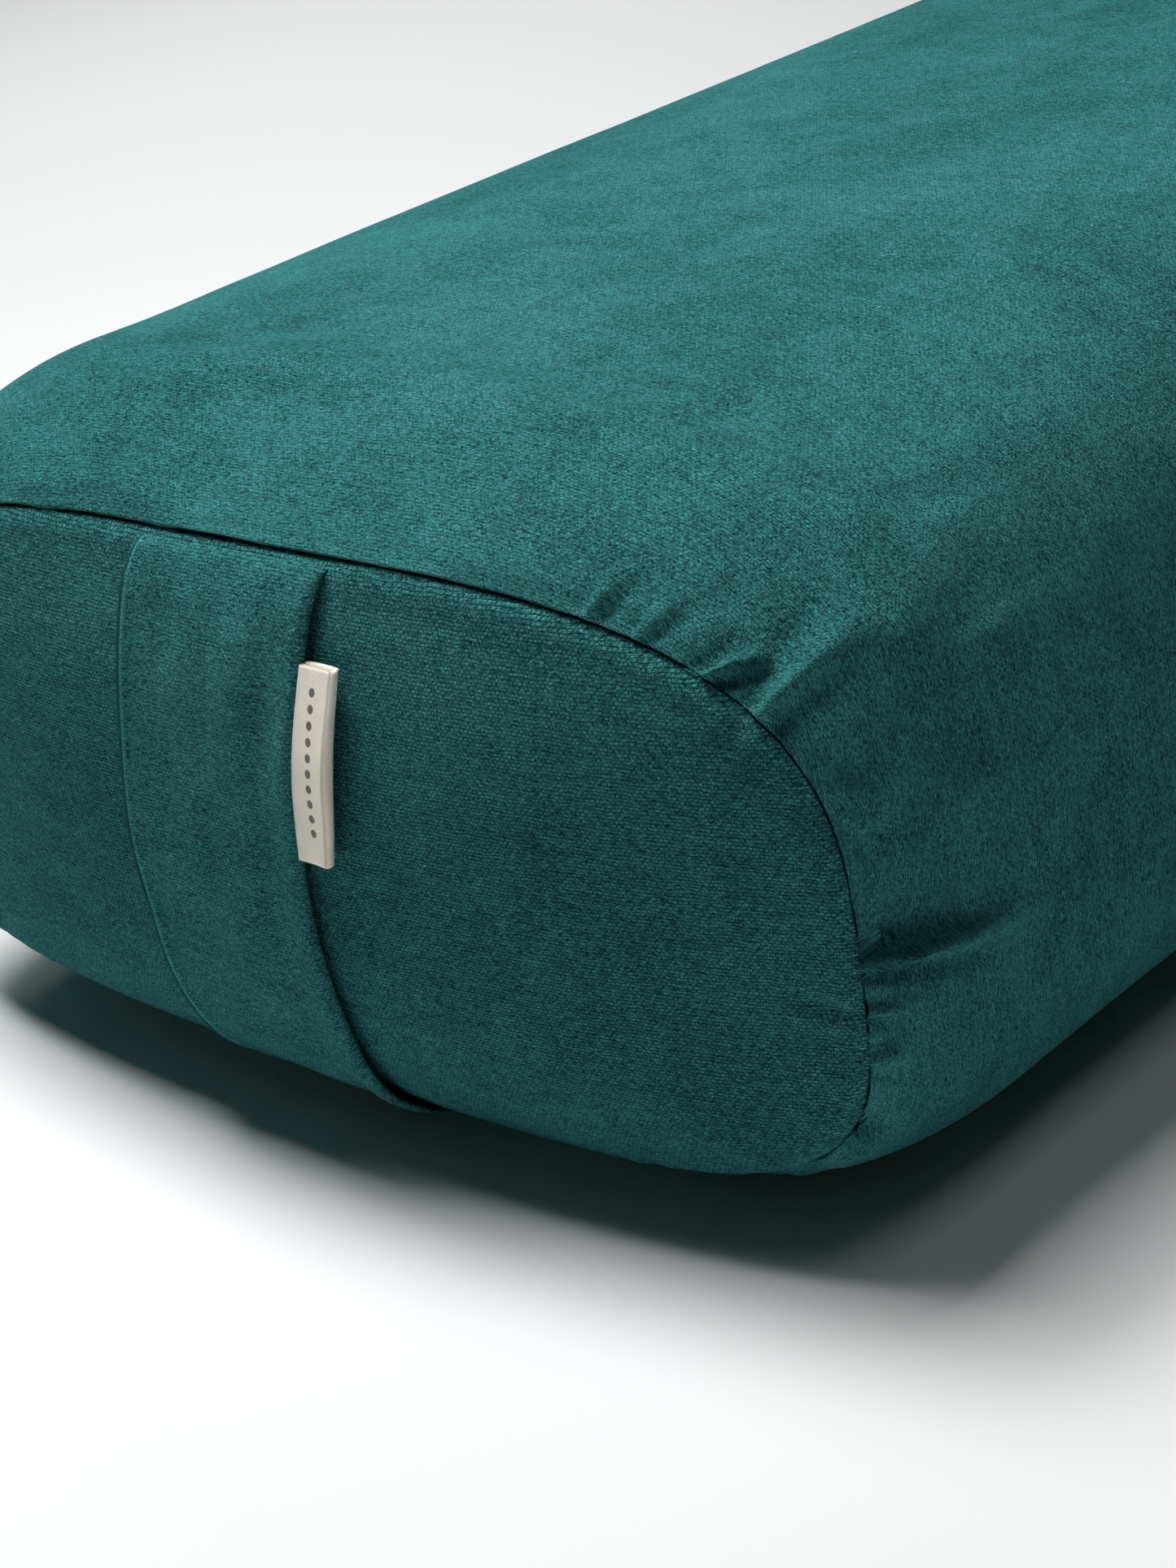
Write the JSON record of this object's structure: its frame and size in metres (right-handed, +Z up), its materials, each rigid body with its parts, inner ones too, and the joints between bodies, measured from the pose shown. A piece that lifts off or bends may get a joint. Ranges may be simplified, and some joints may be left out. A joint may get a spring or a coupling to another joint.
{
  "type": "rectangular yoga bolster",
  "caption": "Firm rectangular bolster cushion in a zipped teal cloth cover, with a flat strap handle sewn across each end and a small folded tag.",
  "frame": {"origin": "on the floor under the middle of the bolster", "axes": "+Y along the length with the tagged end at -Y, +Z up, +X across with the zip at -X"},
  "size_m": [0.2998, 0.66, 0.16],
  "materials": {
    "cover_cloth": "matte",
    "strap_cloth": "matte",
    "interlining": "matte",
    "tag_leather": "satin",
    "zip_tape": "matte",
    "zip_coil": "satin",
    "zip_metal": "satin",
    "calico": "matte",
    "batting": "matte",
    "care_label": "satin"
  },
  "bodies": {
    "bolster": {"cover_wrap": "cover_cloth", "cover_end_front": "cover_cloth", "cover_end_rear": "cover_cloth", "liner_wrap": "calico", "liner_end_front": "calico", "liner_end_rear": "calico", "batting_sleeve": "batting", "batting_end_front": "batting", "batting_end_rear": "batting", "core_lower": "batting", "core_middle": "batting", "core_upper": "batting", "care_label": "care_label", "zip_tape_upper": "zip_tape", "zip_tape_lower": "zip_tape", "zip_chain_upper": "zip_coil", "zip_chain_lower": "zip_coil", "zip_stop_top_upper": "zip_metal", "zip_stop_top_lower": "zip_metal", "zip_stop_bottom": "zip_metal"},
    "handle_front": {"handle_front_cloth": "strap_cloth", "handle_front_lining": "interlining"},
    "handle_rear": {"handle_rear_cloth": "strap_cloth", "handle_rear_lining": "interlining"},
    "label": {"label_tag": "tag_leather"},
    "zip_slider": {"zip_slider_body": "zip_metal", "zip_slider_crown": "zip_metal"},
    "zip_pull": {"zip_pull": "zip_metal"}
  },
  "joints": [
    {"name": "handle_front_lift", "type": "slide", "parent": "bolster", "child": "handle_front", "axis": [0, -1, 0], "range_m": [0, 0.025], "stiffness_N_per_m": 120},
    {"name": "handle_rear_lift", "type": "slide", "parent": "bolster", "child": "handle_rear", "axis": [0, 1, 0], "range_m": [0, 0.025], "stiffness_N_per_m": 120},
    {"name": "label_flip", "type": "hinge", "parent": "handle_front", "child": "label", "pos_m": [0.0272, -0.328, 0.075], "axis": [0, 0.1016, 0.9948], "range_deg": [-100, 0], "stiffness_Nm_per_rad": 0.001},
    {"name": "zip_slide", "type": "slide", "parent": "bolster", "child": "zip_slider", "axis": [0, -1, 0], "range_m": [0, 0.472]},
    {"name": "zip_pull_flip", "type": "hinge", "parent": "zip_slider", "child": "zip_pull", "pos_m": [-0.1485, 0.236, 0.03588], "axis": [-0.2374, 0, 0.9714], "range_deg": [-170, 0]}
  ]
}
